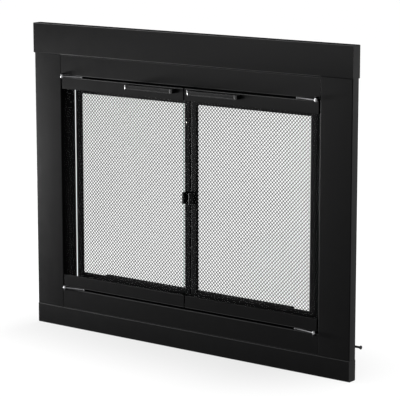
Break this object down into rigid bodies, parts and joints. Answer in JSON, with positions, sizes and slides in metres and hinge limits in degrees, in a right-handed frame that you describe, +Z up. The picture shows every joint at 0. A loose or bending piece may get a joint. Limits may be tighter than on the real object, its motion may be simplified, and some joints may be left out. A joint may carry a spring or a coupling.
{
  "type": "fireplace glass door",
  "caption": "Black steel fireplace surround with swinging glass doors, framed wire mesh doors behind them and a sliding draft vent, fastened over a masonry opening.",
  "frame": {"origin": "mid width, at hearth level, on the plane of the masonry that the rear flanges rest against; the masonry_face mount's point is 2.5 mm above it, on the flat part of the bottom panel's rear flange", "axes": "+X to the right as seen from the room, +Y into the fireplace, +Z up; at rest all the doors and the draft vent are closed"},
  "size_m": [0.9524, 0.097, 0.762],
  "materials": {
    "surround_paint": "satin black heat-proof paint",
    "inner_frame_paint": "matte black paint",
    "zinc_hardware": "bright zinc plated",
    "rivet_paint": "matte black paint",
    "lug_paint": "matte black paint",
    "pin_steel": "plain steel",
    "bush_brass": "plain brass",
    "magnet_housing": "black",
    "door_rail_paint": "satin black heat-proof paint",
    "tempered_glass": "lightly tinted, clear",
    "gasket_cord": "black woven glass tape",
    "handle_paint": "satin black paint",
    "screw_steel": "zinc plated",
    "rod_steel": "bright satin",
    "strike_steel": "plain steel",
    "mesh_frame_paint": "satin black paint",
    "mesh_wire": "dark grey wire",
    "retainer_paint": "matte black paint",
    "pull_plastic": "black heat-proof plastic",
    "vent_paint": "matte black paint",
    "vent_guide_paint": "matte black paint",
    "slide_steel": "plain steel",
    "bracket_paint": "black paint",
    "tension_screw_steel": "black oxide"
  },
  "bodies": {
    "surround": {"header_panel": "surround_paint", "left_side_panel": "surround_paint", "right_side_panel": "surround_paint", "bottom_panel": "surround_paint", "upper_rail": "surround_paint", "lower_rail": "surround_paint", "left_jamb": "inner_frame_paint", "right_jamb": "inner_frame_paint", "top_channel": "inner_frame_paint", "sill_channel": "inner_frame_paint", "seam_bolts": "zinc_hardware", "rail_bolts": "zinc_hardware", "channel_bolts": "zinc_hardware", "frame_rivets": "rivet_paint", "pivot_lugs": "lug_paint", "pivot_pins": "pin_steel", "mesh_hinge_bushes": "bush_brass", "magnet_catches": "magnet_housing", "draft_housing": "vent_paint", "draft_guides": "vent_guide_paint", "side_brackets": "bracket_paint", "bracket_studs": "zinc_hardware", "tension_screws": "tension_screw_steel", "lintel_clamps": "bracket_paint", "clamp_bolts": "zinc_hardware", "lintel_screws": "zinc_hardware"},
    "left_glass_door": {"left_top_rail": "door_rail_paint", "left_bottom_rail": "door_rail_paint", "left_glass_pane": "tempered_glass", "left_gaskets": "gasket_cord", "left_handle": "handle_paint", "left_handle_screws": "screw_steel", "left_pivot_rods": "rod_steel", "left_strike_plate": "strike_steel"},
    "right_glass_door": {"right_top_rail": "door_rail_paint", "right_bottom_rail": "door_rail_paint", "right_glass_pane": "tempered_glass", "right_gaskets": "gasket_cord", "right_handle": "handle_paint", "right_handle_screws": "screw_steel", "right_pivot_rods": "rod_steel", "right_strike_plate": "strike_steel"},
    "left_mesh_door": {"left_mesh_stiles": "mesh_frame_paint", "left_mesh_rails": "mesh_frame_paint", "left_mesh_screen": "mesh_wire", "left_mesh_retainers": "retainer_paint", "left_mesh_pull": "pull_plastic", "left_pull_screw": "screw_steel", "left_mesh_hinge_pins": "pin_steel"},
    "right_mesh_door": {"right_mesh_stiles": "mesh_frame_paint", "right_mesh_rails": "mesh_frame_paint", "right_mesh_screen": "mesh_wire", "right_mesh_retainers": "retainer_paint", "right_mesh_pull": "pull_plastic", "right_pull_screw": "screw_steel", "right_mesh_hinge_pins": "pin_steel"},
    "draft_control": {"draft_slide": "slide_steel", "draft_tab": "slide_steel"}
  },
  "joints": [
    {"name": "left_glass_swing", "type": "hinge", "parent": "surround", "child": "left_glass_door", "pos_m": [-0.38005, -0.03, 0.3685], "axis": [0, 0, -1], "range_deg": [0, 110]},
    {"name": "right_glass_swing", "type": "hinge", "parent": "surround", "child": "right_glass_door", "pos_m": [0.38005, -0.03, 0.3685], "axis": [0, 0, 1], "range_deg": [0, 110]},
    {"name": "left_mesh_swing", "type": "hinge", "parent": "surround", "child": "left_mesh_door", "pos_m": [-0.35695, 0.00325, 0.3685], "axis": [0, 0, -1], "range_deg": [0, 88]},
    {"name": "right_mesh_swing", "type": "hinge", "parent": "surround", "child": "right_mesh_door", "pos_m": [0.35695, 0.00325, 0.3685], "axis": [0, 0, 1], "range_deg": [0, 88]},
    {"name": "draft_travel", "type": "slide", "parent": "surround", "child": "draft_control", "axis": [1, 0, 0], "range_m": [0, 0.027]}
  ],
  "couplings": [
    {"joint": "left_mesh_swing", "follows": "left_glass_swing", "ratio": 0.8},
    {"joint": "right_mesh_swing", "follows": "right_glass_swing", "ratio": 0.8}
  ]
}
